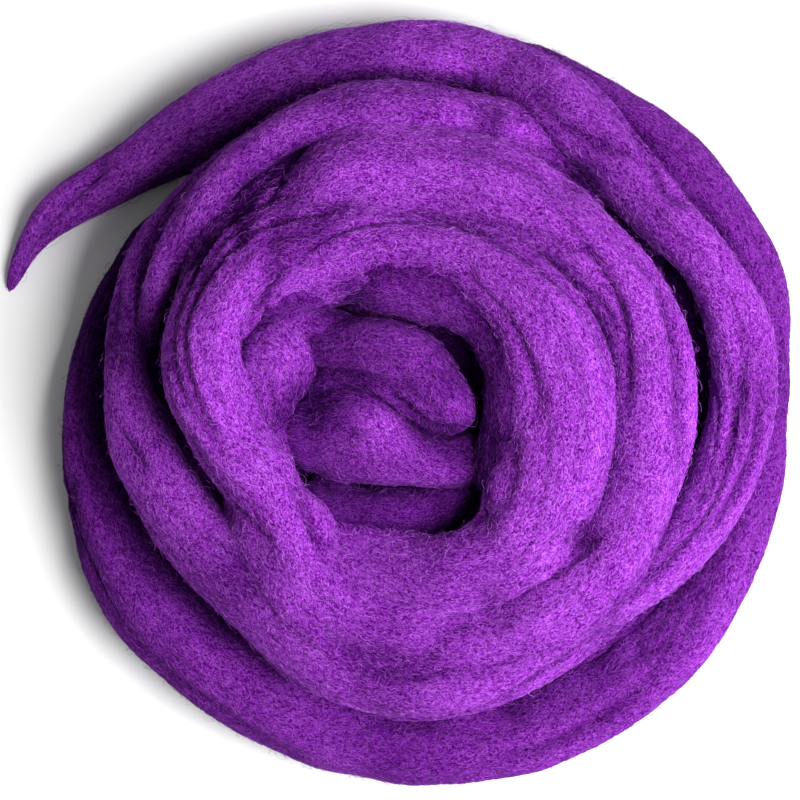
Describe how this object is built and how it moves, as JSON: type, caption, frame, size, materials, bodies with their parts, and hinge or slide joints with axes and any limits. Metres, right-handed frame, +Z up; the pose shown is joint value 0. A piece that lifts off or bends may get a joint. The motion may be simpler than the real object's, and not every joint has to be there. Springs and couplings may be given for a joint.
{
  "type": "wool roving",
  "caption": "Soft combed wool roving wound round and round into a low nest, with a tapered loose end lying beside it.",
  "frame": {"origin": "on the table under the middle of the nest, at the centre of the flat underside", "axes": "+Z up; seen from above the roving winds in clockwise, and the loose end leaves at -X and +Y"},
  "size_m": [0.2375, 0.2311, 0.062],
  "materials": {
    "roving": "matt combed wool with a fine fuzz"
  },
  "bodies": {
    "root": {"wound_nest": "roving", "loose_end": "roving"}
  },
  "joints": []
}
